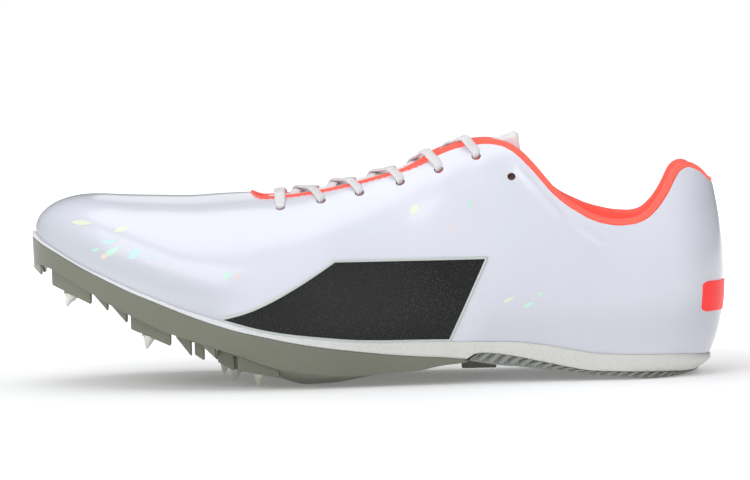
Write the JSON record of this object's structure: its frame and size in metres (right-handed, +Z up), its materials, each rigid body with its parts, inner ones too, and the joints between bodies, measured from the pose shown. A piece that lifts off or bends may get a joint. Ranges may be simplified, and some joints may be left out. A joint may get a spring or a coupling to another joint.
{
  "type": "track spike shoe",
  "caption": "Left sprint spike shoe with a hollow patent upper, padded collar, tongue, crossed laces, foam wedge, stiff plate with lugs and steel spikes, and ribbed heel rubber.",
  "frame": {"origin": "middle of the shoe's footprint, on the floor that the heel rubber and the lowest spikes stand on", "axes": "+Z up, toe toward -X, heel toward +X, lateral side toward -Y"},
  "size_m": [0.2852, 0.0918, 0.1006],
  "materials": {
    "upper": null,
    "lining": "coral red knitted lining, padded at the collar",
    "tongue": "thin white synthetic",
    "insole": "coral red woven top cloth",
    "midsole": "white moulded foam with a fine slanted texture",
    "plate": "satin olive grey moulded plate",
    "heel_rubber": "grey ribbed rubber",
    "spikes": "turned steel",
    "laces": "white flat woven cord"
  },
  "bodies": {
    "root": {"upper": "upper", "collar_lining": "lining", "tongue": "tongue", "insole": "insole", "midsole": "midsole", "spike_plate": "plate", "heel_outsole": "heel_rubber", "spike_1": "spikes", "spike_2": "spikes", "spike_3": "spikes", "spike_4": "spikes", "spike_5": "spikes", "spike_6": "spikes", "spike_7": "spikes", "lace_bar": "laces", "lace_cross_1": "laces", "lace_cross_2": "laces", "lace_cross_3": "laces", "lace_cross_4": "laces", "lace_cross_5": "laces"}
  },
  "joints": []
}
